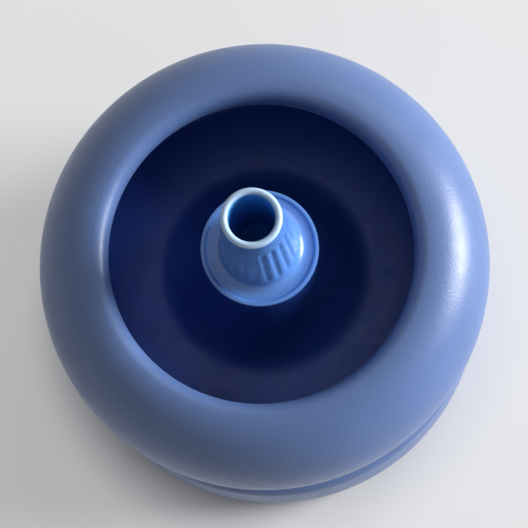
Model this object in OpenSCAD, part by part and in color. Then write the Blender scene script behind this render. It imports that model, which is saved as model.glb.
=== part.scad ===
// Hand-turned bead spinner: a round bowl that spins on a steel axle above a stepped base.
// The hollow grip knob in the middle of the bowl is twisted between finger and thumb.
// Millimetres, +Z up. The origin is on the table, on the spin axis.

/* [Base] */
// Width of the step from the neck out to the lower tier's widest part
step_w = 6; // [5.6:0.1:9]
// Height of the lower tier's shoulder above the table
base_h = 28.5; // [24:0.5:36]
// How far the lower tier's side swells out at mid height
base_bow = 0.6; // [0.2:0.1:0.8]
// Rounding of the lower tier's top edge
base_edge_r = 3.6; // [2.6:0.1:3.6]
// Rounding of the lower tier's bottom edge
base_foot_r = 2.4; // [1:0.2:2.8]
// Fillet where the neck rises from the shoulder
neck_fillet_r = 1.2; // [0.4:0.1:1.2]
// Height of the deck on top of the neck
deck_h = 45; // [40:0.5:52]
// Rounding of the deck's edge
deck_edge_r = 1.5; // [0.5:0.1:2]
// Wall of the base moulding
base_wall = 2.4; // [1.8:0.1:3]
// Diameter of the central boss that grips the axle
boss_d = 14; // [12:0.5:18]
// Depth of the central boss below the deck
boss_depth = 22; // [16:1:26]
// Height that the boss stands above the deck
boss_rise = 0.8; // [0.4:0.1:1.2]
// Ribs under the deck
rib_count = 8; // [4:4:12]
// Thickness of the ribs
rib_t = 1.6; // [1:0.1:2.4]
// Depth of the ribs below the deck
rib_depth = 9; // [5:0.5:12]

/* [Bottom cover] */
// Width of the base's lower rim, outside the bottom cover
rim_w = 5; // [4.6:0.1:8]
// Thickness of the bottom cover
plate_t = 2.5; // [2:0.1:3.5]
// Gap all round the bottom cover
plate_gap = 0.2; // [0.1:0.05:0.4]
// Width of the ledge that the bottom cover seats on
ledge_w = 2; // [1:0.1:3]
// Thickness of that ledge
ledge_t = 2.4; // [1.5:0.1:4]
// Diameter of the screw shank
screw_d = 3; // [2.5:0.1:3.5]
// Diameter of the screw head
screw_head_d = 5.6; // [5:0.1:6.4]
// Thickness of the screw head, sunk in the cover
screw_head_t = 1.25; // [0.8:0.05:1.5]
// Length of a screw, head and all
screw_l = 12; // [8:0.5:16]
// Length of the screw's tapered tip
screw_tip = 3; // [2:0.5:4]
// Diameter of the screw's very point
screw_point_d = 1; // [0.5:0.1:1.5]
// Length of each slot of the cross recess in the screw head
cross_l = 2.8; // [2:0.1:3.4]
// Width of those slots
cross_w = 0.5; // [0.4:0.05:0.8]
// Depth of those slots
cross_depth = 0.75; // [0.5:0.05:0.9]
// Diameter of the posts that take the screws
post_d = 7; // [6:0.1:8]
// Gap between a post and the neck's wall, bridged by a web
post_gap = 0.1; // [0.1:0.1:3]
// Height of the locating rim that stands up inside the ledge
locator_h = 2; // [1:0.1:3]
// Thickness of that rim
locator_t = 1.2; // [0.8:0.1:2]
// Gap between that rim and the ledge
locator_gap = 0.25; // [0.1:0.05:0.4]
// Clearance round a screw in the cover
screw_gap = 0.2; // [0.1:0.05:0.4]
// Clearance round a screw in its post
thread_gap = 0.02; // [0.01:0.01:0.05]

/* [Feet] */
// Diameter of a rubber foot
foot_d = 11; // [8:0.5:14]
// Thickness of a rubber foot
foot_t = 2; // [1.6:0.1:3]
// Depth of the pocket that a foot is glued in
foot_pocket = 0.8; // [0.4:0.1:1.2]
// Gap round a foot in its pocket
foot_gap = 0.15; // [0.05:0.05:0.3]
// Rounding of a foot's lower edge
foot_edge_r = 0.5; // [0.2:0.1:0.8]
// Distance from a foot's middle in to the bottom cover's edge
foot_inset = 10; // [8:0.5:16]

/* [Axle] */
// Diameter of the steel axle
axle_d = 5; // [4:0.1:6]
// How far the axle's head stands out round its shank
axle_head_w = 2; // [1.2:0.1:2.6]
// Thickness of the axle's head
axle_head_t = 2; // [1.5:0.1:3]
// Chamfer on the axle's top end
axle_chamfer = 0.5; // [0.2:0.1:0.8]
// Length of the axle above its clip
axle_tail = 1.8; // [1.2:0.1:3]
// Thickness of both washers
washer_t = 0.8; // [0.5:0.1:1.2]
// Width of the lower, thrust washer's ring
thrust_washer_w = 3.4; // [2.4:0.1:4]
// Width of the upper, retaining washer's ring
retaining_washer_w = 2.4; // [1.8:0.1:2.8]
// Clearance of both washers on the axle
washer_gap = 0.1; // [0.05:0.05:0.2]
// Thickness of the retaining clip
clip_t = 0.6; // [0.4:0.1:0.8]
// How far the retaining clip stands out round the axle
clip_w = 2; // [1.4:0.1:2.4]
// Width of the clip's prongs
clip_prong_w = 1.6; // [1:0.1:2]
// Width of the clip's open mouth
clip_mouth_w = 3.6; // [3:0.1:3.9]
// Depth of the clip's groove in the axle
groove_depth = 0.5; // [0.3:0.05:0.8]
// Spare height of the groove over the clip
groove_gap = 0.1; // [0.05:0.05:0.2]
// Up and down play of the bowl on the axle
end_play = 0.2; // [0.1:0.05:0.3]

/* [Bushes] */
// Wall of both bushes, outside their running clearance
bush_wall = 1.45; // [1:0.05:2]
// Length of a bush below its flange
bush_l = 7; // [5:0.5:9]
// Width of the lower bush's flange
lower_flange_w = 2.5; // [1.5:0.1:3]
// Width of the upper bush's flange
upper_flange_w = 1.7; // [1:0.1:2]
// Thickness of a bush's flange
bush_flange_t = 1.2; // [0.8:0.1:1.6]
// Radial running clearance of the bushes on the axle
run_gap = 0.05; // [0.02:0.01:0.08]

/* [Bowl shell] */
// Largest diameter of the bowl; the base follows it
bowl_d = 100; // [90:1:125]
// How far the bowl's side draws in towards its lower edge
bowl_tuck = 2.2; // [1.4:0.1:3]
// Running gap between the bowl's lower edge and the neck
skirt_gap = 1.6; // [1:0.1:2.5]
// Rounding of the bowl's lower edge
bowl_foot_r = 1; // [0.5:0.1:1.4]
// How far the lower edge reaches down over the deck's edge
skirt_drop = 1; // [0.5:0.1:2]
// Height of the widest part above the lower edge
equator_rise = 15; // [12:0.5:18]
// Height of the rim above the widest part
shoulder_rise = 18; // [14:0.5:22]
// Width of the shoulder, from the widest part in to the rim's highest circle
shoulder_w = 14; // [11:0.5:17]
// Width of the rim's inward roll, from its highest circle in to the mouth
lip_w = 3; // [2.4:0.1:5]
// Height of the rim's inward roll
lip_roll = 3; // [2:0.1:4]
// Length of the straight lip below the roll
lip_drop = 1.5; // [0.5:0.1:3]
// Wall of the bowl's shell
shell_wall = 2.2; // [1.8:0.1:2.4]
// Height of the snap ridge that holds the inner dish
snap_h = 1.8; // [1.2:0.1:2]
// How far the snap ridge reaches under the inner dish
snap_grip = 0.3; // [0.2:0.05:0.5]
// Play between the snap ridge and the inner dish
snap_gap = 0.3; // [0.1:0.05:0.4]
// Thickness of the shelf edge that the inner dish seats against
shelf_t = 1; // [0.8:0.1:2]
// Height of the slope on top of that shelf
shelf_slope = 3; // [2:0.1:5]

/* [Inner dish] */
// Gap between the inner dish and the inside of the bowl's lower edge
dish_play = 0.1; // [0.05:0.05:0.3]
// Wall of the inner dish
dish_wall = 1.8; // [1.4:0.1:2.4]
// Thickness of the inner dish's floor
dish_t = 2; // [1.6:0.1:2.6]
// Height of the inner dish's side wall
dish_h = 15; // [12:0.5:17]
// Running gap between the deck and the inner dish
dish_gap = 2; // [1.6:0.1:3]
// Fillet between the floor and the side wall
floor_fillet_r = 5; // [3:0.5:8]
// Chamfer on the inner dish's lower edge
dish_chamfer = 0.6; // [0.3:0.1:0.9]
// Height of the trumpet hub above the floor
hub_h = 26.2; // [24:0.2:30]
// Diameter of the trumpet hub where it meets the floor
hub_foot_d = 50; // [40:1:54]
// Wall of the trumpet hub
hub_wall = 2; // [1.6:0.1:2.4]
// Wall of the sleeve that holds the bushes
sleeve_wall = 2; // [1.5:0.1:2.4]
// Thickness of the web between the sleeve and the hub's top
web_t = 2; // [1.5:0.1:3]
// Stiffening ribs inside the hub
hub_rib_count = 4; // [4:4:8]
// Thickness of those ribs
hub_rib_t = 1.4; // [1:0.1:2]

/* [Knob] */
// Height of the knob above the hub
knob_h = 31.8; // [28:0.2:40]
// How far the knob's flange stands out over the hub
flange_lip = 2.1; // [1.5:0.1:5]
// Thickness of the knob's flange
flange_t = 1.8; // [1.4:0.1:2.6]
// Width of the raised ring round the flange
flange_ring_w = 0.8; // [0.5:0.1:1.4]
// Height of that raised ring
flange_ring_h = 0.3; // [0.2:0.05:0.6]
// Rounding of the flange's edge
flange_edge_r = 0.7; // [0.3:0.1:0.8]
// Wall of the grip at its foot
grip_wall = 1.6; // [1.2:0.1:2]
// Fillet between the flange and the grip
knob_fillet_r = 2.4; // [1:0.1:2.8]
// Diameter of the hole in the knob
knob_bore_d = 9.5; // [8:0.1:10]
// Wall of the grip at its rounded mouth
mouth_wall = 1.45; // [1.2:0.05:1.8]
// Depth of the hole in the knob
knob_bore_depth = 27; // [15:0.5:28]
// Gap between the upper bush's flange and the knob's spigot
cap_side_gap = 0.8; // [0.4:0.1:1.2]
// Height of that hollow above the axle's end
cap_gap = 1; // [0.5:0.1:1.5]
// Length of the spigot that presses into the hub
spigot_l = 4; // [3:0.1:5]
// Wall of the spigot
spigot_wall = 2; // [1.5:0.1:2.5]
// Keys on the spigot that carry the turning force into the hub
key_count = 4; // [4:4:8]
// Width of a key
key_w = 2; // [1.4:0.1:3]
// How far a key stands out of the spigot
key_t = 0.8; // [0.5:0.1:1.1]
// Clearance round a key in its slot
key_gap = 0.06; // [0.04:0.01:0.15]
// Chamfer on the spigot
spigot_chamfer = 0.4; // [0.2:0.1:0.6]
// Grip flutes round the knob
flute_count = 20; // [12:4:24]
// Radius of a flute
flute_r = 1.1; // [0.8:0.1:1.4]
// Depth of a flute
flute_depth = 0.35; // [0.2:0.05:0.5]
// Distance from the flutes' upper ends to the knob's top
flute_top = 6; // [4:0.5:10]

/* [Hidden] */
$fn = 96;
// Points in each quarter of a rounded outline
STEPS = 12;
// Small overlap that joins a rib to the wall it grows from
JOIN = 0.4;
// Length that a cutting tool runs past the face it cuts
PAST = 1;
// Screws and feet: one of each in every quarter of the base
QUARTERS = [0, 90, 180, 270];
FOOT_TURN = 45;

// Radii of the bowl, and of the base that follows it
bowl_r = bowl_d / 2;
skirt_r = bowl_r - bowl_tuck;
skirt_in_r = skirt_r - shell_wall;
crest_r = bowl_r - shoulder_w;
mouth_r = crest_r - lip_w;
dish_r = skirt_in_r - dish_play;
dish_in_r = dish_r - dish_wall;
neck_r = skirt_in_r - skirt_gap;
base_r = neck_r + step_w;
side_r = base_r - base_bow;
plate_r = base_r - rim_w;
ledge_r = plate_r + plate_gap - ledge_w;
locator_r = ledge_r - locator_gap;
boss_r = boss_d / 2;
screw_circle_r = neck_r - base_wall - post_gap - post_d / 2;
foot_circle_r = plate_r - foot_inset;

// Radii round the axle, from the axle out to the knob
axle_r = axle_d / 2;
axle_head_r = axle_r + axle_head_w;
bush_r = axle_r + run_gap + bush_wall;
sleeve_r = bush_r + sleeve_wall;
upper_flange_r = bush_r + upper_flange_w;
cap_r = upper_flange_r + cap_side_gap;
hub_in_r = cap_r + spigot_wall;
hub_top_r = hub_in_r + hub_wall;
hub_foot_r = hub_foot_d / 2;
flange_r = hub_top_r + flange_lip;
knob_foot_r = cap_r + grip_wall;
knob_bore_r = knob_bore_d / 2;
knob_top_r = knob_bore_r + mouth_wall;
lip_r = mouth_wall / 2;

// Heights above the table, from the feet up to the top of the knob
z_plate = foot_t - foot_pocket;
z_plate_top = z_plate + plate_t;
z_deck = deck_h;
z_boss_foot = z_deck - boss_depth;
z_boss = z_deck + boss_rise;
z_washer = z_boss + washer_t;
z_bush = z_washer + end_play;
z_sleeve = z_bush + bush_flange_t;
z_dish = z_deck + dish_gap;
z_floor = z_dish + dish_t;
z_hub = z_floor + hub_h;
z_web = z_hub - spigot_l;
z_bush_top = z_web + bush_flange_t;
z_retainer = z_bush_top + end_play;
z_clip = z_retainer + washer_t;
z_axle = z_clip + clip_t + axle_tail;
z_cap = z_axle + cap_gap;
z_flange = z_hub + flange_t;
z_knob = z_hub + knob_h;
z_skirt = z_deck - skirt_drop;
z_equator = z_skirt + equator_rise;
z_rim = z_equator + shoulder_rise;
z_shelf = z_dish + dish_h;

// Points on part of an ellipse, from angle a to angle b
function arc(x, y, rx, ry, a, b) =
    [for (i = [0 : STEPS]) let (t = a + (b - a) * i / STEPS) [x + rx * cos(t), y + ry * sin(t)]];

// Points on a shallow bow between two heights, which stands out by swell in the middle
function bow(x, low, high, swell) =
    [for (i = [1 : STEPS - 1]) let (t = i / STEPS) [x + swell * sin(180 * t), low + (high - low) * t]];

// Points on the bowl's side from its lower edge up to its widest part, for a surface inset by t
function bowl_side(t) =
    [for (i = [0 : STEPS])
        let (u = 1 - i / STEPS)
        [bowl_r - t - (bowl_r - skirt_r) * u * u, z_equator - (z_equator - z_skirt - bowl_foot_r) * u]];

// Radius of the inside of the trumpet hub at height z
function hub_in(z) =
    hub_foot_r - (hub_foot_r - hub_in_r) * sqrt(1 - pow((z_hub - z) / (hub_h + dish_t), 2));

// Radius of the inside of the bowl's shoulder at height z
function shoulder_in(z) =
    crest_r + (bowl_r - shell_wall - crest_r) * sqrt(1 - pow((z - z_equator) / (shoulder_rise - shell_wall), 2));

function reversed(points) = [for (i = [len(points) - 1 : -1 : 0]) points[i]];

module at_quarters(radius, turn = 0) {
    for (a = QUARTERS) rotate([0, 0, a + turn]) translate([radius, 0, 0]) children();
}

// A flat ring or a tube, standing on height z
module ring(outer_r, inner_r, z, h) {
    translate([0, 0, z]) difference() {
        cylinder(r = outer_r, h = h);
        translate([0, 0, -PAST]) cylinder(r = inner_r, h = h + 2 * PAST);
    }
}

// Section of the base moulding: outside from the table up, over the deck, and back down inside
module base_section() {
    polygon(concat(
        arc(side_r - base_foot_r, z_plate + base_foot_r, base_foot_r, base_foot_r, -90, 0),
        bow(side_r, z_plate + base_foot_r, base_h - base_edge_r, base_bow),
        arc(side_r - base_edge_r, base_h - base_edge_r, base_edge_r, base_edge_r, 0, 90),
        arc(neck_r + neck_fillet_r, base_h + neck_fillet_r, neck_fillet_r, neck_fillet_r, 270, 180),
        arc(neck_r - deck_edge_r, z_deck - deck_edge_r, deck_edge_r, deck_edge_r, 0, 90),
        [[0, z_deck], [0, z_deck - base_wall], [neck_r - base_wall, z_deck - base_wall]],
        [[neck_r - base_wall, base_h - base_wall]],
        arc(side_r - base_edge_r, base_h - base_edge_r,
            base_edge_r - base_wall, base_edge_r - base_wall, 90, 0),
        [[side_r - base_wall, z_plate_top + ledge_t], [ledge_r, z_plate_top + ledge_t]],
        [[ledge_r, z_plate_top], [plate_r + plate_gap, z_plate_top], [plate_r + plate_gap, z_plate]]
    ));
}

// Screw post, tied to the neck's wall by a web
module screw_post() {
    cylinder(d = post_d, h = z_deck - base_wall + JOIN - z_plate_top);
    translate([0, -rib_t / 2, base_h - z_plate_top])
        cube([neck_r - screw_circle_r - base_wall + JOIN, rib_t, z_deck - base_h - base_wall]);
}

module base_shell() {
    color([0.42, 0.58, 0.86]) difference() {
        union() {
            rotate_extrude() base_section();
            translate([0, 0, z_boss_foot]) cylinder(r = boss_r, h = boss_depth + boss_rise);
            for (i = [0 : rib_count - 1])
                rotate([0, 0, (i + 0.5) * 360 / rib_count])
                    translate([boss_r - JOIN, -rib_t / 2, z_deck - base_wall - rib_depth])
                        cube([neck_r - base_wall - boss_r + 2 * JOIN, rib_t, rib_depth + JOIN]);
            at_quarters(screw_circle_r) translate([0, 0, z_plate_top]) screw_post();
        }
        translate([0, 0, z_boss_foot - PAST]) cylinder(r = axle_r, h = boss_depth + boss_rise + 2 * PAST);
        translate([0, 0, z_boss_foot - PAST])
            cylinder(r = axle_head_r + washer_gap, h = axle_head_t + PAST);
        at_quarters(screw_circle_r) translate([0, 0, z_plate_top - PAST])
            cylinder(d = screw_d + 2 * thread_gap, h = screw_l - plate_t + 2 * PAST);
    }
}

module base_plate() {
    color([0.30, 0.42, 0.66]) difference() {
        union() {
            translate([0, 0, z_plate]) cylinder(r = plate_r, h = plate_t);
            ring(locator_r, locator_r - locator_t, z_plate_top - JOIN, locator_h + JOIN);
        }
        at_quarters(screw_circle_r) translate([0, 0, z_plate - PAST]) {
            cylinder(d = screw_d + 2 * screw_gap, h = plate_t + 2 * PAST);
            cylinder(d = screw_head_d + 2 * screw_gap, h = PAST + screw_head_t);
        }
        at_quarters(foot_circle_r, FOOT_TURN) translate([0, 0, z_plate - PAST])
            cylinder(d = foot_d + 2 * foot_gap, h = PAST + foot_pocket);
    }
}

// Four pan-head screws with a cross recess, driven from below
module base_screws() {
    color([0.72, 0.73, 0.75]) at_quarters(screw_circle_r) translate([0, 0, z_plate]) difference() {
        union() {
            cylinder(d = screw_head_d, h = screw_head_t);
            cylinder(d = screw_d, h = screw_l - screw_tip);
            translate([0, 0, screw_l - screw_tip])
                cylinder(d1 = screw_d, d2 = screw_point_d, h = screw_tip);
        }
        for (a = [0, 90]) rotate([0, 0, a])
            translate([-cross_l / 2, -cross_w / 2, -PAST]) cube([cross_l, cross_w, PAST + cross_depth]);
    }
}

module rubber_feet() {
    color([0.16, 0.16, 0.18]) at_quarters(foot_circle_r, FOOT_TURN) rotate_extrude()
        polygon(concat(
            [[0, foot_t], [0, 0]],
            arc(foot_d / 2 - foot_edge_r, foot_edge_r, foot_edge_r, foot_edge_r, -90, 0),
            [[foot_d / 2, foot_t]]
        ));
}

// Headed steel pin, pressed up through the boss, with a groove for the clip near its top
module axle() {
    color([0.76, 0.77, 0.80]) rotate_extrude()
        polygon([
            [0, z_boss_foot], [axle_head_r, z_boss_foot], [axle_head_r, z_boss_foot + axle_head_t],
            [axle_r, z_boss_foot + axle_head_t], [axle_r, z_clip],
            [axle_r - groove_depth, z_clip], [axle_r - groove_depth, z_clip + clip_t + groove_gap],
            [axle_r, z_clip + clip_t + groove_gap], [axle_r, z_axle - axle_chamfer],
            [axle_r - axle_chamfer, z_axle], [0, z_axle]
        ]);
}

module thrust_washer() {
    color([0.90, 0.88, 0.82]) ring(axle_r + washer_gap + thrust_washer_w, axle_r + washer_gap, z_boss, washer_t);
}

module retaining_washer() {
    color([0.76, 0.77, 0.80]) ring(axle_r + washer_gap + retaining_washer_w, axle_r + washer_gap, z_retainer, washer_t);
}

// Spring clip pushed into the groove from one side: an open ring with three prongs that grip the groove
module retaining_clip() {
    prong_r = axle_r - groove_depth;
    clip_r = axle_r + clip_w;
    relief_r = (prong_r + clip_r) / 2;
    color([0.60, 0.61, 0.64]) translate([0, 0, z_clip]) linear_extrude(clip_t) difference() {
        circle(r = clip_r);
        circle(r = prong_r);
        translate([0, -clip_mouth_w / 2]) square([2 * clip_r, clip_mouth_w]);
        difference() {
            circle(r = relief_r);
            for (a = [90, 180, 270])
                rotate(a) translate([0, -clip_prong_w / 2]) square([2 * clip_r, clip_prong_w]);
        }
    }
}

// Section of the bowl's shell: up the outside, over the rolled rim, and back down the inside
module shell_section() {
    in_x = bowl_r - crest_r - shell_wall;
    in_y = shoulder_rise - shell_wall;
    lip_z = z_rim - lip_roll - lip_drop;
    edge_r = shell_wall / 2;
    ridge_r = dish_r - snap_grip;
    ridge_z = z_dish - snap_gap;
    polygon(concat(
        arc(skirt_r - bowl_foot_r, z_skirt + bowl_foot_r, bowl_foot_r, bowl_foot_r, -90, 0),
        bowl_side(0),
        arc(crest_r, z_equator, bowl_r - crest_r, shoulder_rise, 0, 90),
        arc(crest_r, z_rim - lip_roll, crest_r - mouth_r, lip_roll, 90, 180),
        arc(mouth_r + edge_r, lip_z, edge_r, edge_r, 180, 360),
        [for (p = arc(crest_r, z_equator, in_x, in_y, 90, 0)) if (p[0] >= mouth_r + shell_wall) p],
        reversed([for (p = bowl_side(shell_wall)) if (p[1] > ridge_z) p]),
        [[skirt_in_r, ridge_z], [ridge_r, ridge_z - snap_grip]],
        [[ridge_r, ridge_z - snap_h / 2], [skirt_in_r, ridge_z - snap_h]],
        [[skirt_in_r, z_skirt]]
    ));
    // Shelf that the inner dish seats against, sloped on top so that no bead rests there
    shelf_top = z_shelf + shelf_t + shelf_slope;
    polygon([
        [dish_in_r, z_shelf], [shoulder_in(z_shelf) + JOIN, z_shelf],
        [shoulder_in(shelf_top) + JOIN, shelf_top], [dish_in_r, z_shelf + shelf_t]
    ]);
}

module bowl_shell() {
    color([0.42, 0.58, 0.86]) rotate_extrude() shell_section();
}

// Section of the inner dish: side wall, floor, trumpet hub, and the hollow under the hub
module dish_section() {
    polygon(concat(
        [[dish_r, z_shelf], [dish_in_r, z_shelf]],
        arc(dish_in_r - floor_fillet_r, z_floor + floor_fillet_r, floor_fillet_r, floor_fillet_r, 360, 270),
        arc(hub_foot_r, z_hub, hub_foot_r - hub_top_r, hub_h, 270, 180),
        [[hub_in_r, z_hub], [hub_in_r, z_web], [bush_r, z_web], [bush_r, z_sleeve]],
        [[sleeve_r, z_sleeve], [sleeve_r, z_web - web_t], [hub_in(z_web - web_t), z_web - web_t]],
        [for (p = arc(hub_foot_r, z_hub, hub_foot_r - hub_in_r, hub_h + dish_t, 180, 270))
            if (p[1] < z_web - web_t) p],
        [[dish_r - dish_chamfer, z_dish], [dish_r, z_dish + dish_chamfer]]
    ));
}

// Triangular rib between the sleeve and the inside of the hub
module hub_rib() {
    rotate([90, 0, 0]) translate([0, 0, -hub_rib_t / 2]) linear_extrude(hub_rib_t) difference() {
        translate([sleeve_r - JOIN, z_dish + JOIN])
            square([hub_foot_r - sleeve_r, z_web - web_t - z_dish]);
        translate([hub_foot_r, z_hub])
            polygon(concat([[0, 0]], arc(0, 0, hub_foot_r - hub_in_r - JOIN, hub_h + dish_t - JOIN, 180, 270)));
    }
}

module bowl_dish() {
    color([0.07, 0.12, 0.34]) difference() {
        union() {
            rotate_extrude() dish_section();
            for (i = [0 : hub_rib_count - 1]) rotate([0, 0, i * 360 / hub_rib_count]) hub_rib();
        }
        spigot_keys(key_w + 2 * key_gap, key_t + key_gap, PAST);
    }
}

// Bars round the spigot: the knob's keys, or with clearance the slots that they slide into
module spigot_keys(width, depth, above = 0) {
    for (i = [0 : key_count - 1])
        rotate([0, 0, (i + 0.5) * 360 / key_count])
            translate([hub_in_r - JOIN, -width / 2, z_web]) cube([depth + JOIN, width, spigot_l + above]);
}

// Flanged bush; the lower one hangs under the sleeve and the upper one drops in from above
module bush(bush_flange_r) {
    rotate_extrude() polygon([
        [axle_r + run_gap, 0], [bush_flange_r, 0], [bush_flange_r, bush_flange_t],
        [bush_r, bush_flange_t], [bush_r, bush_flange_t + bush_l], [axle_r + run_gap, bush_flange_t + bush_l]
    ]);
}

module lower_bush() {
    color([0.90, 0.88, 0.82]) translate([0, 0, z_bush]) bush(bush_r + lower_flange_w);
}

module upper_bush() {
    color([0.90, 0.88, 0.82]) translate([0, 0, z_bush_top]) mirror([0, 0, 1]) bush(upper_flange_r);
}

// Section of the knob: spigot, flange with its raised ring, tapered grip, rounded mouth and hole
module knob_section() {
    ring_z = z_flange + flange_ring_h;
    polygon(concat(
        [[0, z_cap], [cap_r, z_cap], [cap_r, z_web], [hub_in_r - spigot_chamfer, z_web]],
        [[hub_in_r, z_web + spigot_chamfer], [hub_in_r, z_hub]],
        arc(flange_r - flange_edge_r, z_hub + flange_edge_r, flange_edge_r, flange_edge_r, -90, 0),
        [[flange_r, ring_z], [flange_r - flange_ring_w, ring_z]],
        [[flange_r - flange_ring_w - flange_ring_h, z_flange]],
        arc(knob_foot_r + knob_fillet_r, z_flange + knob_fillet_r, knob_fillet_r, knob_fillet_r, 270, 180),
        arc(knob_top_r - lip_r, z_knob - lip_r, lip_r, lip_r, 0, 180),
        [[knob_bore_r, z_knob - knob_bore_depth], [0, z_knob - knob_bore_depth]]
    ));
}

// Round-ended cutter that lies along the grip's taper
module flute() {
    low = [knob_foot_r, z_flange + knob_fillet_r];
    high = [knob_top_r, z_knob - lip_r];
    lean = atan2(low[0] - high[0], high[1] - low[1]);
    length = (high[1] - low[1]) / cos(lean) - flute_top;
    translate([low[0], 0, low[1]]) rotate([0, -lean, 0]) translate([flute_r - flute_depth, 0, flute_r]) {
        cylinder(r = flute_r, h = length);
        sphere(r = flute_r);
        translate([0, 0, length]) sphere(r = flute_r);
    }
}

module grip_knob() {
    color([0.40, 0.57, 0.88]) difference() {
        union() {
            rotate_extrude() knob_section();
            spigot_keys(key_w, key_t);
        }
        for (i = [0 : flute_count - 1]) rotate([0, 0, i * 360 / flute_count]) flute();
    }
}

base_shell();
base_plate();
base_screws();
rubber_feet();
axle();
thrust_washer();
retaining_washer();
retaining_clip();
bowl_shell();
bowl_dish();
lower_bush();
upper_bush();
grip_knob();
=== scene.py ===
"""Looks of a hand-turned bead spinner, built round the fixed frame of its solids. Lengths are metres."""
from math import atan2, cos, hypot, pi, radians, sin, sqrt

import bpy
from mathutils import Matrix, Vector


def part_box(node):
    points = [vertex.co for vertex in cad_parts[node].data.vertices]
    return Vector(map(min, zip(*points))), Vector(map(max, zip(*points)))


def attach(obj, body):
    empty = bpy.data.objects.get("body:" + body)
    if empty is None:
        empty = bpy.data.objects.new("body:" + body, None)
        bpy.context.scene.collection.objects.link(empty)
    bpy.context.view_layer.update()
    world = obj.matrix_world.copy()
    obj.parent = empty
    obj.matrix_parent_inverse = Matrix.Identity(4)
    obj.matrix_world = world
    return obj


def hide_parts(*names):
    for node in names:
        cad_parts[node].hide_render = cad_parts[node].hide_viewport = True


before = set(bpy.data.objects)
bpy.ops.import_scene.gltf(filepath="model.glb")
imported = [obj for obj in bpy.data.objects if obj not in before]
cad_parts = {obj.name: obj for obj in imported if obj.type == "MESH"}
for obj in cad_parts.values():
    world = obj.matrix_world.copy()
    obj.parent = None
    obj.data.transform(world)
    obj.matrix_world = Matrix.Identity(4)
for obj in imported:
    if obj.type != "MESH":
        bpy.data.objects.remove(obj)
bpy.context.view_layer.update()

MM = 0.001

# Boxes of the solids that the new pieces are fitted to
base_low, base_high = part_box("base_shell")
bowl_low, bowl_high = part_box("bowl_shell")
dish_low, dish_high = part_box("bowl_dish")
knob_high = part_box("grip_knob")[1]
foot_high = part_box("rubber_feet")[1]

# Points round a turned piece, and steps along its curves, from small edges to the bowl's shoulder
SIDES = 240
POST_SIDES = 32
FOOT_SIDES = 64
SMALL_STEPS = 6
EDGE_STEPS = 8
CURVE_STEPS = 12
MOUTH_STEPS = 16
INSIDE_STEPS = 20
HUB_STEPS = 24
SHOULDER_STEPS = 28

# Points closer than this become one
MERGE = 0.002 * MM

# How far ribs, posts and keys reach into the walls they join
SINK = 0.4 * MM

# Width and steps of the broken edges, and the angle from which an edge counts as sharp
BROKEN_EDGE = 0.12 * MM
BROKEN_FOOT_EDGE = 0.1 * MM
BROKEN_STEPS = 2
SHARP = radians(35)

# Base moulding
BASE_R = base_high.x
BASE_BOW = 0.6 * MM
BASE_TOP = 28.5 * MM
BASE_EDGE = 3.6 * MM
BASE_FOOT_EDGE = 2.4 * MM
BASE_WALL = 2.4 * MM
NECK_R = 44 * MM
NECK_IN = NECK_R - BASE_WALL
NECK_FILLET = 1.2 * MM
DECK = 45 * MM
DECK_IN = DECK - BASE_WALL
DECK_EDGE = 1.5 * MM
REBATE_R = 45.2 * MM
REBATE_TOP = 3.7 * MM
LEDGE_R = 43.2 * MM
LEDGE_TOP = 6.1 * MM
BOSS_R = 7 * MM
BOSS_FOOT = 23 * MM
AXLE_R = 2.5 * MM
AXLE_HEAD_R = 4.6 * MM
AXLE_HEAD_T = 2 * MM
RIBS = 8
RIB_T = 1.6 * MM
RIB_DEPTH = 9 * MM
SCREWS = 4
SCREW_CIRCLE = 38 * MM
SCREW_HOLE_R = 1.52 * MM
POST_R = 3.5 * MM

# Bowl shell
BOWL_R = bowl_high.x
SKIRT_R = 47.8 * MM
SKIRT_EDGE = 1 * MM
EQUATOR = bowl_low.z + 15 * MM
CREST_R = 36 * MM
MOUTH_R = 33 * MM
LIP_ROLL = 3 * MM
LIP_DROP = 1.5 * MM
SHELL_WALL = 2.2 * MM
SHOULDER_REACH = BOWL_R - SHELL_WALL - CREST_R
SHOULDER_RISE = bowl_high.z - SHELL_WALL - EQUATOR
SHELF = 62 * MM
SHELF_EDGE = 1 * MM
SHELF_SLOPE = 3 * MM
RIDGE_R = 45.2 * MM
RIDGE_TOP = 46.7 * MM
RIDGE_SLOPE = 0.3 * MM
RIDGE_H = 1.8 * MM

# Inner dish, with the hub that carries the knob and the sleeve for the bushes
DISH_R = dish_high.x
DISH_WALL = 1.8 * MM
DISH_IN = DISH_R - DISH_WALL
DISH_FLOOR = dish_low.z + 2 * MM
FLOOR_FILLET = 5 * MM
DISH_CHAMFER = 0.6 * MM
HUB_FOOT_R = 25 * MM
HUB_TOP_R = 10.5 * MM
HUB_TOP = dish_high.z
HUB_WALL = 2 * MM
HUB_REACH = HUB_FOOT_R - HUB_TOP_R + HUB_WALL
HUB_RISE = HUB_TOP - dish_low.z
HUB_RIBS = 4
HUB_RIB_T = 1.4 * MM
HUB_RIB_STEPS = 16
SPIGOT_R = HUB_TOP_R - HUB_WALL
SPIGOT_L = 4 * MM
SPIGOT_FOOT = HUB_TOP - SPIGOT_L
WEB = 2 * MM
WEB_FOOT = SPIGOT_FOOT - WEB
SLEEVE_R = 6 * MM
SLEEVE_FOOT = 48 * MM
BUSH_R = 4 * MM
KEYS = 4
KEY_W = 2 * MM
KEY_T = 0.8 * MM
KEY_GAP = 0.06 * MM

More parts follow.
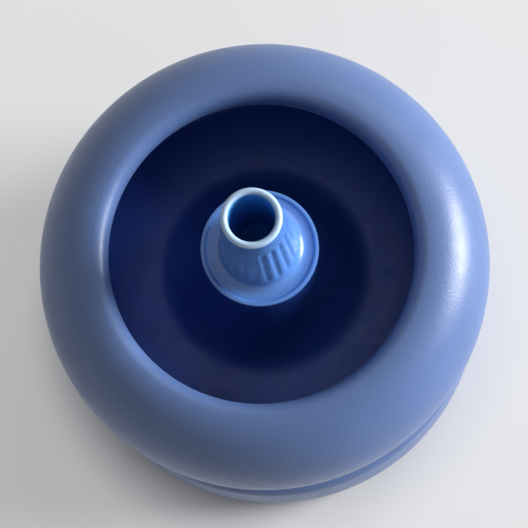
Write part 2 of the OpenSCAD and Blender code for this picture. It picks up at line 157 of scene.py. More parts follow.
# Knob
FLANGE_R = knob_high.x
FLANGE_T = 1.8 * MM
FLANGE_TOP = HUB_TOP + FLANGE_T
FLANGE_EDGE = 0.7 * MM
RING_W = 0.8 * MM
RING_H = 0.3 * MM
KNOB_FOOT_R = 8.1 * MM
KNOB_FILLET = 2.4 * MM
KNOB_TOP_R = 6.2 * MM
KNOB_BORE_R = 4.75 * MM
KNOB_LIP_R = (KNOB_TOP_R - KNOB_BORE_R) / 2
COLUMN_FOOT = FLANGE_TOP + KNOB_FILLET
COLUMN_TOP = knob_high.z - KNOB_LIP_R
COLUMN_STEP = 0.8 * MM
BORE_FLOOR = knob_high.z - 27 * MM
BORE_EDGE = 0.8 * MM
CAP_R = 6.5 * MM
CAP_TOP = 76.8 * MM
SPIGOT_CHAMFER = 0.4 * MM
FLUTES = 20
FLUTE_HALF_W = 1 * MM
FLUTE_DEPTH = 0.35 * MM
FLUTE_TOP = COLUMN_TOP - 6 * MM
FLUTE_END = 1.2 * MM

# Feet
FEET = 4
FOOT_R = 5.5 * MM
FOOT_EDGE = 0.5 * MM
FOOT_CIRCLE = 35 * MM
FOOT_TURN = radians(45)

# Camera: the photograph looks down on the bowl, a little off its axis, with the knob leaning up and left
VIEW_FROM_AXIS = radians(11.4)
VIEW_ROLL = radians(15.4)
VIEW_DISTANCE = 0.400
VIEW_FILL = 0.85
SENSOR = 36.0

# Studio: a light's level is how bright a white surface that faces it turns
LIGHT_DISTANCE = 1.5
KEY_TURN = radians(12)
KEY_RISE = radians(17)
KEY_SIZE = 0.8
KEY_LEVEL = 1.75
FILL_TURN = radians(60)
FILL_RISE = radians(40)
FILL_SIZE = 0.8
FILL_LEVEL = 0.12
SKY_LEVEL = 0.17
FLOOR_SIZE = 8.0

# Distance from the axle, and how white the floor turns there of itself; with none close round the base this
# leaves a painted shade ring round it
FLOOR_LIFT = ((0.046, 0), (0.066, 0.36), (0.12, 0.40), (0.60, 1))

# Colours, as linear light
BODY_BLUE = (0.100, 0.172, 0.385)
KNOB_BLUE = (0.105, 0.265, 0.690)
# Painted highlight: the paler blue of the knob's mouth stands in for the light it catches
LIP_PAINTED_HIGHLIGHT = (0.50, 0.71, 0.97)
# Painted light: the hole's cyan, lighter than the knob's own blue
BORE_PAINTED_GLOW_BLUE = (0.070, 0.360, 0.800)
# Painted shade: the dish's navy stands in for the deep shade inside the bowl
NAVY_PAINTED_SHADE = (0.017, 0.058, 0.300)
COVER_BLUE = (0.075, 0.145, 0.390)
RUBBER = (0.012, 0.012, 0.014)
STEEL = (0.60, 0.61, 0.64)
ACETAL = (0.76, 0.73, 0.65)
FLOOR_GREY = (0.80, 0.80, 0.80)
WHITE = (1, 1, 1)

# Depths under the knob's top where its mouth starts to turn paler and is palest, in a painted highlight
LIP_PALE_FROM = 1.1 * MM
LIP_PALEST = 0.2 * MM

# Range of the noise over which colour and gloss drift from one end to the other
COLOUR_RANGE = (0.3, 0.7)
GLOSS_RANGE = (0.25, 0.75)

# Least and most roughness on a piece of steel, as shares of its own
STEEL_SHINIEST = 0.8
STEEL_DULLEST = 1.3


def rest_all():
    """Leaves edit mode and deselects everything."""
    if bpy.context.object and bpy.context.object.mode != "OBJECT":
        bpy.ops.object.mode_set(mode="OBJECT")
    bpy.ops.object.select_all(action="DESELECT")


def only(piece):
    """Makes a piece the one that is selected and active."""
    rest_all()
    piece.select_set(True)
    bpy.context.view_layer.objects.active = piece


def arc(x, z, rx, rz, first, last, steps=CURVE_STEPS):
    """Points (radius, height) on part of an ellipse, between two angles in degrees."""
    turn = [radians(first + (last - first) * i / steps) for i in range(steps + 1)]
    return [(x + rx * cos(t), z + rz * sin(t)) for t in turn]


def rounding(x, z, r, first, last, steps=CURVE_STEPS):
    """Points (radius, height) on part of a circle, between two angles in degrees."""
    return arc(x, z, r, r, first, last, steps)


def bow(x, low, high, swell, steps=CURVE_STEPS):
    """Points between two heights on a line that stands out in the middle."""
    return [(x + swell * sin(pi * i / steps), low + (high - low) * i / steps) for i in range(1, steps)]


def bowl_side(inset, steps=CURVE_STEPS):
    """Points on the bowl's side, from its lower edge up to its widest part."""
    low = bowl_low.z + SKIRT_EDGE
    rise = [1 - i / steps for i in range(steps + 1)]
    return [(BOWL_R - inset - (BOWL_R - SKIRT_R) * u * u, EQUATOR - (EQUATOR - low) * u) for u in rise]


def shoulder_in(z):
    """Radius of the inside of the bowl's shoulder at a height."""
    return CREST_R + SHOULDER_REACH * sqrt(1 - ((z - EQUATOR) / SHOULDER_RISE) ** 2)


def hub_in(z):
    """Radius of the inside of the trumpet hub at a height."""
    return HUB_FOOT_R - HUB_REACH * sqrt(1 - ((HUB_TOP - z) / HUB_RISE) ** 2)


def column_r(z):
    """Radius of the knob's tapered column at a height."""
    return KNOB_FOOT_R + (KNOB_TOP_R - KNOB_FOOT_R) * (z - COLUMN_FOOT) / (COLUMN_TOP - COLUMN_FOOT)


def turned(name, outline, closed, sides=SIDES):
    """A ring of edges, extruded from point to point along an outline of (radius, height)."""
    rest_all()
    radius, height = outline[0]
    bpy.ops.mesh.primitive_circle_add(vertices=sides, radius=radius, location=(0, 0, height))
    piece = bpy.context.object
    piece.name = name
    bpy.ops.object.transform_apply(location=True, rotation=True, scale=True)
    bpy.ops.object.mode_set(mode="EDIT")
    bpy.ops.mesh.select_mode(type="VERT")
    bpy.ops.mesh.select_all(action="SELECT")
    if not closed:
        bpy.ops.mesh.edge_face_add()
    for (r0, z0), (r1, z1) in zip(outline, outline[1:]):
        bpy.ops.mesh.extrude_edges_move(TRANSFORM_OT_translate={"value": (0, 0, z1 - z0)})
        bpy.ops.transform.resize(value=(r1 / r0, r1 / r0, 1), center_override=(0, 0, z1))
    if not closed:
        bpy.ops.mesh.edge_face_add()
    bpy.ops.mesh.select_all(action="SELECT")
    bpy.ops.mesh.remove_doubles(threshold=MERGE)
    bpy.ops.mesh.normals_make_consistent(inside=False)
    bpy.ops.object.mode_set(mode="OBJECT")
    return piece


def finish(piece, edge=BROKEN_EDGE):
    """Breaks the sharp edges of a piece with a small bevel, and shades it smooth."""
    only(piece)
    bevel = piece.modifiers.new("broken_edges", "BEVEL")
    bevel.width = edge
    bevel.segments = BROKEN_STEPS
    bevel.limit_method = "ANGLE"
    bevel.angle_limit = SHARP
    bpy.ops.object.modifier_apply(modifier=bevel.name)
    bpy.ops.object.shade_smooth_by_angle(angle=SHARP)


def place(piece, at):
    """Moves a piece that was made on the axis, and keeps its object at the origin."""
    only(piece)
    piece.location = at
    bpy.ops.object.transform_apply(location=True, rotation=True, scale=True)


def joined(piece, others):
    """Joins other meshes into a piece."""
    only(piece)
    for other in others:
        other.select_set(True)
    bpy.ops.object.join()
    return piece


def upright(turn, inner, outer, low, high, thickness):
    """An upright block between two distances from the axle and two heights, turned round the axle."""
    rest_all()
    middle = (inner + outer) / 2
    at = (middle * cos(turn), middle * sin(turn), (low + high) / 2)
    size = (outer - inner, thickness, high - low)
    bpy.ops.mesh.primitive_cube_add(size=1, location=at, rotation=(0, 0, turn), scale=size)
    bpy.ops.object.transform_apply(location=True, rotation=True, scale=True)
    return bpy.context.object


def dressed(piece, body, material, node):
    """Gives a piece its finish, ties it to its body and lets it stand for its solid."""
    piece.data.materials.clear()
    piece.data.materials.append(material)
    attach(piece, body)
    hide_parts(node)


def base_outline():
    """Section of the base moulding: up the outside, over the deck, down the axle's hole and back inside."""
    foot = base_low.z
    side = BASE_R - BASE_BOW
    head_top = BOSS_FOOT + AXLE_HEAD_T
    return [
        *rounding(side - BASE_FOOT_EDGE, foot + BASE_FOOT_EDGE, BASE_FOOT_EDGE, -90, 0),
        *bow(side, foot + BASE_FOOT_EDGE, BASE_TOP - BASE_EDGE, BASE_BOW),
        *rounding(side - BASE_EDGE, BASE_TOP - BASE_EDGE, BASE_EDGE, 0, 90),
        *rounding(NECK_R + NECK_FILLET, BASE_TOP + NECK_FILLET, NECK_FILLET, 270, 180, EDGE_STEPS),
        *rounding(NECK_R - DECK_EDGE, DECK - DECK_EDGE, DECK_EDGE, 0, 90, EDGE_STEPS),
        (BOSS_R, DECK), (BOSS_R, base_high.z), (AXLE_R, base_high.z),
        (AXLE_R, head_top), (AXLE_HEAD_R, head_top), (AXLE_HEAD_R, BOSS_FOOT), (BOSS_R, BOSS_FOOT),
        (BOSS_R, DECK_IN), (NECK_IN, DECK_IN), (NECK_IN, BASE_TOP - BASE_WALL),
        *rounding(side - BASE_EDGE, BASE_TOP - BASE_EDGE, BASE_EDGE - BASE_WALL, 90, 0, SMALL_STEPS),
        (side - BASE_WALL, LEDGE_TOP), (LEDGE_R, LEDGE_TOP), (LEDGE_R, REBATE_TOP),
        (REBATE_R, REBATE_TOP), (REBATE_R, foot), (side - BASE_FOOT_EDGE, foot),
    ]


def screw_post(turn):
    """A hollow post from the cover up to the deck, which takes one of the cover's screws."""
    post = turned("screw_post", [
        (SCREW_HOLE_R, REBATE_TOP), (POST_R, REBATE_TOP), (POST_R, DECK_IN + SINK),
        (SCREW_HOLE_R, DECK_IN + SINK), (SCREW_HOLE_R, REBATE_TOP),
    ], closed=True, sides=POST_SIDES)
    place(post, (SCREW_CIRCLE * cos(turn), SCREW_CIRCLE * sin(turn), 0))
    return post


def base_inside():
    """Ribs under the deck, and the screw posts, each with a web out to the neck."""
    inside = []
    for i in range(RIBS):
        turn = 2 * pi * (i + 0.5) / RIBS
        inside.append(upright(turn, BOSS_R - SINK, NECK_IN + SINK, DECK_IN - RIB_DEPTH, DECK_IN, RIB_T))
    for i in range(SCREWS):
        turn = 2 * pi * i / SCREWS
        inside.append(screw_post(turn))
        inside.append(upright(turn, SCREW_CIRCLE + SCREW_HOLE_R, NECK_IN + SINK, BASE_TOP, DECK_IN, RIB_T))
    return inside


def base_moulding(plastic):
    """The base in one moulding: lower tier, neck, deck and axle boss, with ribs and posts inside."""
    piece = turned("base_moulding", base_outline(), closed=True)
    finish(piece)
    joined(piece, base_inside())
    dressed(piece, "base", plastic, "base_shell")


def bowl_outer_shell(plastic):
    """The bowl's shell: up the outside, over the rolled rim, and down inside past shelf and snap ridge."""
    lip = SHELL_WALL / 2
    lip_z = bowl_high.z - LIP_ROLL - LIP_DROP
    shelf_top = SHELF + SHELF_EDGE + SHELF_SLOPE
    skirt_in = SKIRT_R - SHELL_WALL
    inner = arc(CREST_R, EQUATOR, SHOULDER_REACH, SHOULDER_RISE, 90, 0, INSIDE_STEPS)
    piece = turned("bowl_outer_shell", [
        *rounding(SKIRT_R - SKIRT_EDGE, bowl_low.z + SKIRT_EDGE, SKIRT_EDGE, -90, 0, EDGE_STEPS),
        *bowl_side(0),
        *arc(CREST_R, EQUATOR, BOWL_R - CREST_R, bowl_high.z - EQUATOR, 0, 90, SHOULDER_STEPS),
        *arc(CREST_R, bowl_high.z - LIP_ROLL, CREST_R - MOUTH_R, LIP_ROLL, 90, 180),
        *rounding(MOUTH_R + lip, lip_z, lip, 180, 360),
        *[point for point in inner if point[1] > shelf_top],
        (shoulder_in(shelf_top), shelf_top), (DISH_IN, SHELF + SHELF_EDGE),
        (DISH_IN, SHELF), (shoulder_in(SHELF), SHELF),
        *[point for point in inner if point[1] < SHELF],
        *[point for point in reversed(bowl_side(SHELL_WALL)) if point[1] > RIDGE_TOP],
        (skirt_in, RIDGE_TOP), (RIDGE_R, RIDGE_TOP - RIDGE_SLOPE),
        (RIDGE_R, RIDGE_TOP - RIDGE_H / 2), (skirt_in, RIDGE_TOP - RIDGE_H),
        (skirt_in, bowl_low.z), (SKIRT_R - SKIRT_EDGE, bowl_low.z),
    ], closed=True)
    finish(piece)
    dressed(piece, "bowl", plastic, "bowl_shell")


def hub_rib(turn):
    """A rib between the sleeve and the inside of the hub, drawn up in steps from its foot."""
    rest_all()
    inner = SLEEVE_R - SINK
    low = dish_low.z + SINK
    high = WEB_FOOT + SINK
    heights = [low + (high - low) * i / HUB_RIB_STEPS for i in range(HUB_RIB_STEPS + 1)]
    reach = [hub_in(z) + SINK / 2 - inner for z in heights]
    bpy.ops.mesh.primitive_plane_add(size=1, location=(inner + reach[0] / 2, 0, low))
    rib = bpy.context.object
    rib.scale = (reach[0], HUB_RIB_T, 1)
    bpy.ops.object.transform_apply(location=True, rotation=True, scale=True)
    bpy.ops.object.mode_set(mode="EDIT")
    bpy.ops.mesh.select_all(action="SELECT")
    for (l0, z0), (l1, z1) in zip(zip(reach, heights), zip(reach[1:], heights[1:])):
        bpy.ops.mesh.extrude_region_move(TRANSFORM_OT_translate={"value": (0, 0, z1 - z0)})
        bpy.ops.transform.resize(value=(l1 / l0, 1, 1), center_override=(inner, 0, z1))
    bpy.ops.mesh.select_all(action="SELECT")
    bpy.ops.mesh.normals_make_consistent(inside=False)
    bpy.ops.object.mode_set(mode="OBJECT")
    rib.rotation_euler = (0, 0, turn)
    bpy.ops.object.transform_apply(location=True, rotation=True, scale=True)
    return rib


def key_bars(width, depth):
    """Bars round the knob's spigot: its keys, or with clearance the slots that they slide into."""
    turns = [2 * pi * (i + 0.5) / KEYS for i in range(KEYS)]
    inner = SPIGOT_R - SINK
    outer = SPIGOT_R + depth
    return [upright(turn, inner, outer, SPIGOT_FOOT, HUB_TOP + SINK, width) for turn in turns]


def cut_key_slots(piece):
    """Cuts the slots for the knob's keys into the top of the hub."""
    bars = key_bars(KEY_W + 2 * KEY_GAP, KEY_T + KEY_GAP)
    cutter = joined(bars[0], bars[1:])
    only(piece)
    slots = piece.modifiers.new("key_slots", "BOOLEAN")
    slots.operation = "DIFFERENCE"
    slots.object = cutter
    bpy.ops.object.modifier_apply(modifier=slots.name)
    bpy.ops.object.shade_smooth_by_angle(angle=SHARP)
    only(cutter)
    bpy.ops.object.delete()


def bowl_inner_dish(plastic):
    """The dish that holds the beads, with its trumpet hub and the sleeve for the bushes."""
    hollow = arc(HUB_FOOT_R, HUB_TOP, HUB_REACH, HUB_RISE, 180, 270, INSIDE_STEPS)
    piece = turned("bowl_inner_dish", [
        (DISH_R, SHELF), (DISH_IN, SHELF),
        *rounding(DISH_IN - FLOOR_FILLET, DISH_FLOOR + FLOOR_FILLET, FLOOR_FILLET, 360, 270),
        *arc(HUB_FOOT_R, HUB_TOP, HUB_FOOT_R - HUB_TOP_R, HUB_TOP - DISH_FLOOR, 270, 180, HUB_STEPS),
        (SPIGOT_R, HUB_TOP), (SPIGOT_R, SPIGOT_FOOT),
        (BUSH_R, SPIGOT_FOOT), (BUSH_R, SLEEVE_FOOT), (SLEEVE_R, SLEEVE_FOOT), (SLEEVE_R, WEB_FOOT),
        (hub_in(WEB_FOOT), WEB_FOOT),
        *[point for point in hollow if point[1] < WEB_FOOT],
        (DISH_R - DISH_CHAMFER, dish_low.z), (DISH_R, dish_low.z + DISH_CHAMFER), (DISH_R, SHELF),
    ], closed=True)
    finish(piece)
    cut_key_slots(piece)
    joined(piece, [hub_rib(2 * pi * i / HUB_RIBS) for i in range(HUB_RIBS)])
    dressed(piece, "bowl", plastic, "bowl_dish")


def press_flutes(piece, height):
    """Draws in the ring of points at a height where the flutes run, deepest along the middle of each."""
    fade = min(height - COLUMN_FOOT, FLUTE_TOP - height) / FLUTE_END
    if fade <= 0:
        return
    radius = column_r(height)
    per_flute = SIDES // FLUTES
    spacing = 2 * pi * radius / SIDES
    only(piece)
    for step in range(per_flute // 2):
        if step * spacing >= FLUTE_HALF_W:
            break
        across = cos(pi / 2 * step * spacing / FLUTE_HALF_W) ** 2
        depth = sqrt(min(1, fade)) * FLUTE_DEPTH * across
        bpy.ops.object.mode_set(mode="EDIT")
        bpy.ops.mesh.select_all(action="DESELECT")
        bpy.ops.object.mode_set(mode="OBJECT")
        for point in piece.data.vertices:
            x, y, z = point.co
            if abs(z - height) < MERGE and hypot(x, y) > KNOB_BORE_R + MERGE:
                on_ring = round(atan2(y, x) / (2 * pi) * SIDES) % per_flute
                point.select = min(on_ring, per_flute - on_ring) == step
        bpy.ops.object.mode_set(mode="EDIT")
        share = 1 - depth / radius
        bpy.ops.transform.resize(value=(share, share, 1), center_override=(0, 0, height))
        bpy.ops.object.mode_set(mode="OBJECT")


def grip_knob(plastic, bore):
    """The hollow grip knob: spigot, flange with its raised ring, fluted column, rounded mouth and hole."""
    steps = round((COLUMN_TOP - COLUMN_FOOT) / COLUMN_STEP)
    heights = [COLUMN_FOOT + (COLUMN_TOP - COLUMN_FOOT) * i / steps for i in range(1, steps)]
    piece = turned("grip_knob_turned", [
        (CAP_R, CAP_TOP), (CAP_R, SPIGOT_FOOT), (SPIGOT_R - SPIGOT_CHAMFER, SPIGOT_FOOT),
        (SPIGOT_R, SPIGOT_FOOT + SPIGOT_CHAMFER), (SPIGOT_R, HUB_TOP),
        *rounding(FLANGE_R - FLANGE_EDGE, HUB_TOP + FLANGE_EDGE, FLANGE_EDGE, -90, 0, SMALL_STEPS),
        (FLANGE_R, FLANGE_TOP + RING_H), (FLANGE_R - RING_W, FLANGE_TOP + RING_H),
        (FLANGE_R - RING_W - RING_H, FLANGE_TOP),
        *rounding(KNOB_FOOT_R + KNOB_FILLET, COLUMN_FOOT, KNOB_FILLET, 270, 180),
        *[(column_r(z), z) for z in heights],
        *rounding(KNOB_TOP_R - KNOB_LIP_R, COLUMN_TOP, KNOB_LIP_R, 0, 180, MOUTH_STEPS),
        *rounding(KNOB_BORE_R - BORE_EDGE, BORE_FLOOR + BORE_EDGE, BORE_EDGE, 0, -90, SMALL_STEPS),
    ], closed=False)
    finish(piece)
    for height in heights:
        press_flutes(piece, height)
    joined(piece, key_bars(KEY_W, KEY_T))
    dressed(piece, "bowl", plastic, "grip_knob")
    piece.data.materials.append(bore)
    # The faces inside the hole take the painted light of the hole's material
    for face in piece.data.polygons:
        x, y, z = face.center
        if z > BORE_FLOOR - MERGE and hypot(x, y) < KNOB_BORE_R + MERGE:
            face.material_index = 1


def rubber_feet(material):
    """Four glued feet, modelled once and copied."""
    first = turned("rubber_foot_1", [
        *rounding(FOOT_R - FOOT_EDGE, FOOT_EDGE, FOOT_EDGE, -90, 0, SMALL_STEPS), (FOOT_R, foot_high.z),
    ], closed=False, sides=FOOT_SIDES)
    finish(first, BROKEN_FOOT_EDGE)
    feet = [first]
    for i in range(1, FEET):
        only(first)
        bpy.ops.object.duplicate()
        bpy.context.object.name = "rubber_foot_%d" % (i + 1)
        feet.append(bpy.context.object)
    for i, foot in enumerate(feet):
        turn = FOOT_TURN + 2 * pi * i / FEET
        place(foot, (FOOT_CIRCLE * cos(turn), FOOT_CIRCLE * sin(turn), 0))
        dressed(foot, "base", material, "rubber_feet")


def shader_of(material):
    """The shader of a material."""
    return material.node_tree.nodes["Principled BSDF"]


def new_material(name, colour, roughness, **sockets):
    """A material with its uniform values set on its shader's own sockets."""
    material = bpy.data.materials.new(name)
    material.use_nodes = True
    shader = shader_of(material)
    shader.inputs["Base Color"].default_value = (*colour, 1)
    shader.inputs["Roughness"].default_value = roughness
    for socket, value in sockets.items():
        shader.inputs[socket.replace("_", " ")].default_value = value
    return material


def add(material, kind, **values):
    """A node of a kind, with values for its properties or, by name, its sockets."""
    node = material.node_tree.nodes.new(kind)
    for name, value in values.items():
        socket = name.replace("_", " ")
        if socket in node.inputs:
            node.inputs[socket].default_value = value
        else:
            setattr(node, name, value)
    return node


def noise(material, size, detail=2):
    """Noise on object coordinates whose lumps are about a given size."""
    where = add(material, "ShaderNodeTexCoord")
    texture = add(material, "ShaderNodeTexNoise", Scale=1 / size, Detail=detail)
    material.node_tree.links.new(where.outputs["Object"], texture.inputs["Vector"])
    return texture


def vary_colour(material, colour, dark, light, size):
    """Lets the colour drift over the surface between two shares of itself."""
    links = material.node_tree.links
    ramp = add(material, "ShaderNodeValToRGB")
    for stop, position, share in zip(ramp.color_ramp.elements, COLOUR_RANGE, (dark, light)):
        stop.position = position
        stop.color = (*[channel * share for channel in colour], 1)
    links.new(noise(material, size).outputs["Fac"], ramp.inputs["Fac"])
    links.new(ramp.outputs["Color"], shader_of(material).inputs["Base Color"])


def vary_roughness(material, low, high, size):
    """Lets the gloss drift between two values over the surface."""
    links = material.node_tree.links
    start, end = GLOSS_RANGE
    spread = add(material, "ShaderNodeMapRange", interpolation_type="SMOOTHSTEP",
                 From_Min=start, From_Max=end, To_Min=low, To_Max=high)
    links.new(noise(material, size).outputs["Fac"], spread.inputs["Value"])
    links.new(spread.outputs["Result"], shader_of(material).inputs["Roughness"])


def grain(material, size, height, strength=1.0):
    """A raised grain of a given size and height."""
    links = material.node_tree.links
    bump = add(material, "ShaderNodeBump", Strength=strength, Distance=height)
    links.new(noise(material, size, detail=3).outputs["Fac"], bump.inputs["Height"])
    links.new(bump.outputs["Normal"], shader_of(material).inputs["Normal"])


def painted_highlight_above(material, pale, low, high):
    """Lets the colour turn paler between two heights: a painted highlight, standing in for the light that
    the knob's rounded mouth catches.
    """
    links = material.node_tree.links
    colour = shader_of(material).inputs["Base Color"]
    under = colour.links[0].from_socket
    where = add(material, "ShaderNodeTexCoord")
    height = add(material, "ShaderNodeSeparateXYZ")
    share = add(material, "ShaderNodeMapRange", interpolation_type="SMOOTHSTEP", From_Min=low, From_Max=high)
    both = add(material, "ShaderNodeMix", data_type="RGBA")
    both.inputs["B"].default_value = (*pale, 1)
    links.new(where.outputs["Object"], height.inputs["Vector"])
    links.new(height.outputs["Z"], share.inputs["Value"])
    links.new(share.outputs["Result"], both.inputs["Factor"])
    links.new(under, both.inputs["A"])
    links.new(both.outputs["Result"], colour)


def satin_plastic():
    """The base's and bowl's blue plastic, with a fine spark grain."""
    material = new_material("satin_blue_plastic", BODY_BLUE, roughness=0.36)
    vary_colour(material, BODY_BLUE, dark=0.96, light=1.04, size=14 * MM)
    vary_roughness(material, low=0.32, high=0.40, size=4 * MM)
    grain(material, size=0.40 * MM, height=0.05 * MM)
    return material


def gloss_plastic():
    """The knob's smoother blue plastic, with a painted highlight that makes it paler at its mouth."""
    material = new_material("gloss_blue_plastic", KNOB_BLUE, roughness=0.22)
    vary_colour(material, KNOB_BLUE, dark=0.96, light=1.03, size=5 * MM)
    painted_highlight_above(material, LIP_PAINTED_HIGHLIGHT, knob_high.z - LIP_PALE_FROM, knob_high.z - LIP_PALEST)
    vary_roughness(material, low=0.18, high=0.28, size=2 * MM)
    grain(material, size=1.2 * MM, height=0.008 * MM, strength=0.5)
    return material


def painted_glow_bore_plastic():
    """The unpolished inside of the knob's hole; its colour is painted light, a cyan lighter than the knob's
    own blue.
    """
    material = new_material("bore_painted_glow", BORE_PAINTED_GLOW_BLUE, roughness=0.7, Specular_IOR_Level=0.2)
    vary_colour(material, BORE_PAINTED_GLOW_BLUE, dark=0.92, light=1, size=3 * MM)
    grain(material, size=0.5 * MM, height=0.02 * MM, strength=0.6)
    return material


def painted_shade_navy_plastic():
    """The inner dish's plastic, painted navy: painted shade of the bowl's deep inside, darker than the
    body's blue.
    """
    material = new_material("painted_shade_navy_plastic", NAVY_PAINTED_SHADE, roughness=0.4, Specular_IOR_Level=0.4)
    vary_colour(material, NAVY_PAINTED_SHADE, dark=0.9, light=1.1, size=8 * MM)
    vary_roughness(material, low=0.36, high=0.46, size=3 * MM)
    grain(material, size=0.8 * MM, height=0.02 * MM, strength=0.6)
    return material


def rubber():
    """The feet's matt rubber."""
    material = new_material("foot_rubber", RUBBER, roughness=0.8)
    vary_colour(material, RUBBER, dark=0.8, light=1.2, size=1 * MM)
    grain(material, size=0.3 * MM, height=0.03 * MM)
    return material


def steel(name, roughness):
    """A bright steel, more or less polished."""
    material = new_material(name, STEEL, roughness, Metallic=1.0)
    vary_roughness(material, low=STEEL_SHINIEST * roughness, high=STEEL_DULLEST * roughness, size=1 * MM)
    grain(material, size=0.15 * MM, height=0.004 * MM, strength=0.5)
    return material


def acetal():
    """The pale plastic of the bushes and the thrust washer."""
    material = new_material("bearing_acetal", ACETAL, roughness=0.4)
    vary_colour(material, ACETAL, dark=0.95, light=1, size=2 * MM)
    grain(material, size=0.4 * MM, height=0.01 * MM, strength=0.5)
    return material


def cover_plastic():
    """The bottom cover's matt plastic."""
    material = new_material("cover_plastic", COVER_BLUE, roughness=0.55)
    vary_colour(material, COVER_BLUE, dark=0.92, light=1.05, size=6 * MM)
    grain(material, size=0.5 * MM, height=0.03 * MM, strength=0.8)
    return material


def dress_nodes():
    """Finishes of the solids that show as they are."""
    for node, material in {
        "base_plate": cover_plastic(),
        "base_screws": steel("zinc_plate", roughness=0.35),
        "axle": steel("axle_steel", roughness=0.2),
        "retaining_washer": steel("washer_steel", roughness=0.3),
        "retaining_clip": steel("spring_steel", roughness=0.35),
        "thrust_washer": acetal(),
        "lower_bush": acetal(),
        "upper_bush": acetal(),
    }.items():
        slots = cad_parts[node].data.materials
        slots.clear()
        slots.append(material)


def view_axes():
    """Directions to the right, up and outward in the picture."""
    outward = Vector((0, -sin(VIEW_FROM_AXIS), cos(VIEW_FROM_AXIS)))
    up = Vector((0, cos(VIEW_FROM_AXIS), sin(VIEW_FROM_AXIS)))
    right = up.cross(outward)
    turn = Matrix.Rotation(-VIEW_ROLL, 3, outward)
    return turn @ right, turn @ up, outward


def camera():
    """Sets the camera on the line of the photograph's view, rolled as the photograph is."""
    right, up, outward = view_axes()
    bpy.ops.object.camera_add(location=Vector((0, 0, EQUATOR)) + outward * VIEW_DISTANCE)
    eye = bpy.context.object
    turn = Matrix((right, up, outward)).transposed()
    eye.matrix_world = Matrix.Translation(eye.location) @ turn.to_4x4()
    eye.data.sensor_width = SENSOR
    eye.data.lens = SENSOR * VIEW_DISTANCE * VIEW_FILL / (2 * BOWL_R)
    eye.data.dof.use_dof = False
    bpy.context.scene.camera = eye


def studio():
    """A pale floor, a soft key light from the picture's right and a weak one from nearer its top."""
    rest_all()
    bpy.ops.mesh.primitive_plane_add(size=FLOOR_SIZE, location=(0, 0, 0))
    floor = bpy.context.object
    floor.name = "floor"
    floor.data.materials.append(pale_floor())
    soft_light("key_light", KEY_TURN, KEY_RISE, KEY_SIZE, KEY_LEVEL)
    soft_light("fill_light", FILL_TURN, FILL_RISE, FILL_SIZE, FILL_LEVEL)
    sky()


def pale_floor():
    """A matt floor that keeps the object's shadow, is darker in a painted shade ring close round the base,
    and runs out to plain white.
    """
    material = new_material("pale_floor", FLOOR_GREY, roughness=0.9)
    vary_colour(material, FLOOR_GREY, dark=0.99, light=1, size=300 * MM)
    end = FLOOR_LIFT[-1][0]
    where = add(material, "ShaderNodeTexCoord")
    distance = add(material, "ShaderNodeVectorMath", operation="LENGTH")
    share = add(material, "ShaderNodeMapRange", From_Max=end)
    # Painted shade: no white close round the base, more of it further out
    lift = add(material, "ShaderNodeValToRGB")
    lift.color_ramp.interpolation = "EASE"
    for reach, _ in FLOOR_LIFT[1:-1]:
        lift.color_ramp.elements.new(reach / end)
    for stop, (reach, level) in zip(lift.color_ramp.elements, FLOOR_LIFT):
        stop.position = reach / end
        stop.color = (level, level, level, 1)
    amount = add(material, "ShaderNodeMath", operation="MULTIPLY")
    white = add(material, "ShaderNodeEmission")
    both = add(material, "ShaderNodeMixShader")
    surface = material.node_tree.nodes["Material Output"].inputs["Surface"]
    links = material.node_tree.links
    links.new(where.outputs["Object"], distance.inputs[0])
    links.new(distance.outputs["Value"], share.inputs["Value"])
    links.new(share.outputs["Result"], lift.inputs["Fac"])
    links.new(lift.outputs["Color"], amount.inputs[0])
    links.new(seen_rays(material.node_tree), amount.inputs[1])
    links.new(amount.outputs["Value"], both.inputs["Fac"])
    links.new(shader_of(material).outputs["BSDF"], both.inputs[1])
    links.new(white.outputs["Emission"], both.inputs[2])
    links.new(both.outputs["Shader"], surface)
    return material


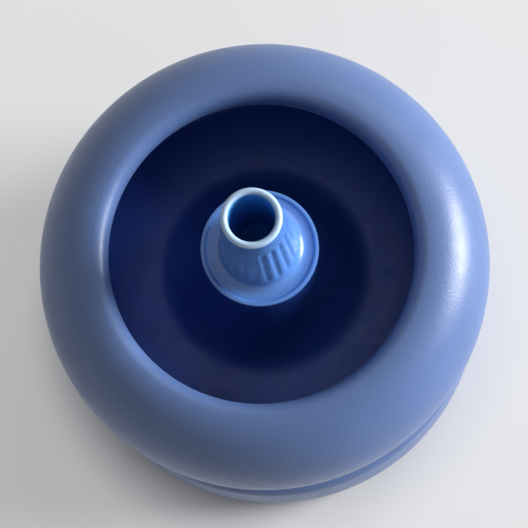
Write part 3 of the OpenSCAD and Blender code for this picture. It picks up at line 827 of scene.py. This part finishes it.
def seen_rays(tree):
    """One for a ray that the camera, gloss or glass sends out, and nothing for one that lights a surface."""
    path = tree.nodes.new("ShaderNodeLightPath")
    seen = path.outputs["Is Camera Ray"]
    for ray in ("Is Glossy Ray", "Is Transmission Ray"):
        either = tree.nodes.new("ShaderNodeMath")
        either.operation = "MAXIMUM"
        tree.links.new(seen, either.inputs[0])
        tree.links.new(path.outputs[ray], either.inputs[1])
        seen = either.outputs["Value"]
    return seen


def soft_light(name, turn, rise, size, level):
    """An area light aimed at the bowl. Its turn is seen in the picture, from the right towards the top."""
    right, up, _ = view_axes()
    flat = right * cos(turn) + up * sin(turn)
    flat.z = 0
    out = flat.normalized() * cos(rise) + Vector((0, 0, sin(rise)))
    bpy.ops.object.light_add(type="AREA", location=Vector((0, 0, EQUATOR)) + out * LIGHT_DISTANCE)
    light = bpy.context.object
    light.name = name
    light.rotation_euler = out.to_track_quat("Z", "Y").to_euler()
    light.data.shape = "DISK"
    light.data.size = size
    light.data.energy = level * (pi * LIGHT_DISTANCE) ** 2


def sky():
    """White where the camera, gloss or glass sees it, and a plain level for everything it lights."""
    world = bpy.data.worlds.new("studio_sky")
    bpy.context.scene.world = world
    world.use_nodes = True
    nodes = world.node_tree.nodes
    nodes.clear()
    lit = nodes.new("ShaderNodeBackground")
    lit.inputs["Color"].default_value = (*WHITE, 1)
    lit.inputs["Strength"].default_value = SKY_LEVEL
    seen = nodes.new("ShaderNodeBackground")
    seen.inputs["Color"].default_value = (*WHITE, 1)
    both = nodes.new("ShaderNodeMixShader")
    out = nodes.new("ShaderNodeOutputWorld")
    links = world.node_tree.links
    links.new(seen_rays(world.node_tree), both.inputs["Fac"])
    links.new(lit.outputs["Background"], both.inputs[1])
    links.new(seen.outputs["Background"], both.inputs[2])
    links.new(both.outputs["Shader"], out.inputs["Surface"])


bpy.context.scene.view_settings.view_transform = "Standard"
camera()
studio()
dress_nodes()

body_plastic = satin_plastic()
base_moulding(body_plastic)
bowl_outer_shell(body_plastic)
bowl_inner_dish(painted_shade_navy_plastic())
grip_knob(gloss_plastic(), painted_glow_bore_plastic())
rubber_feet(rubber())
